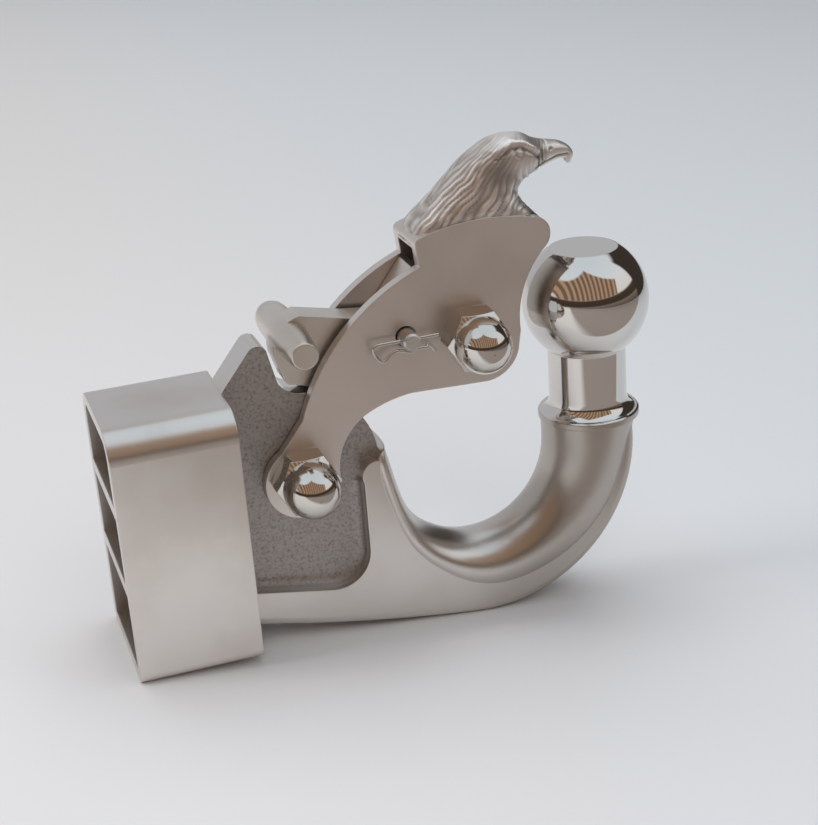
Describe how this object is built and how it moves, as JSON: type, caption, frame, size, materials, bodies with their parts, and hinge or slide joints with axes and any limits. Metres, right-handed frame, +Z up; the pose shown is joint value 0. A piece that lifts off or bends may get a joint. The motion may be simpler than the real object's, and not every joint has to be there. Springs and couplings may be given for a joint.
{
  "type": "trailer hitch hook",
  "caption": "Cast stainless pintle hook with a tow ball on its horn and a swinging latch topped by an eagle's head, locked by a sprung lever and a pin.",
  "frame": {"origin": "middle of the back mounting face of the block", "axes": "+X from the mounting face towards the ball, +Y to the bolt-head side, +Z up along the ball's neck"},
  "size_m": [0.2203, 0.067, 0.1915],
  "materials": {
    "satin_stainless": "satin ground casting",
    "polished_stainless": "mirror polished",
    "bright_wire": "bright drawn"
  },
  "bodies": {
    "hook": {"hook_body": "satin_stainless"},
    "latch": {"latch": "satin_stainless", "pivot_bolt": "polished_stainless", "pivot_cap_nut": "polished_stainless", "lever_bolt": "polished_stainless", "lever_cap_nut": "polished_stainless", "lever_spring": "bright_wire", "safety_pin": "bright_wire", "r_clip": "bright_wire"},
    "lever": {"lock_lever": "satin_stainless"}
  },
  "joints": [
    {"name": "latch_swing", "type": "hinge", "parent": "hook", "child": "latch", "pos_m": [0.0725, 0, 0.0138], "axis": [0, -1, 0], "range_deg": [0, 16]},
    {"name": "lever_lift", "type": "hinge", "parent": "latch", "child": "lever", "pos_m": [0.1425, 0, 0.058], "axis": [0, 1, 0], "range_deg": [0, 32], "stiffness_Nm_per_rad": 0.3, "springref_deg": -17.19, "deforming": ["lever_spring"]}
  ],
  "couplings": [
    {"joint": "lever_lift", "follows": "latch_swing", "ratio": 2}
  ]
}
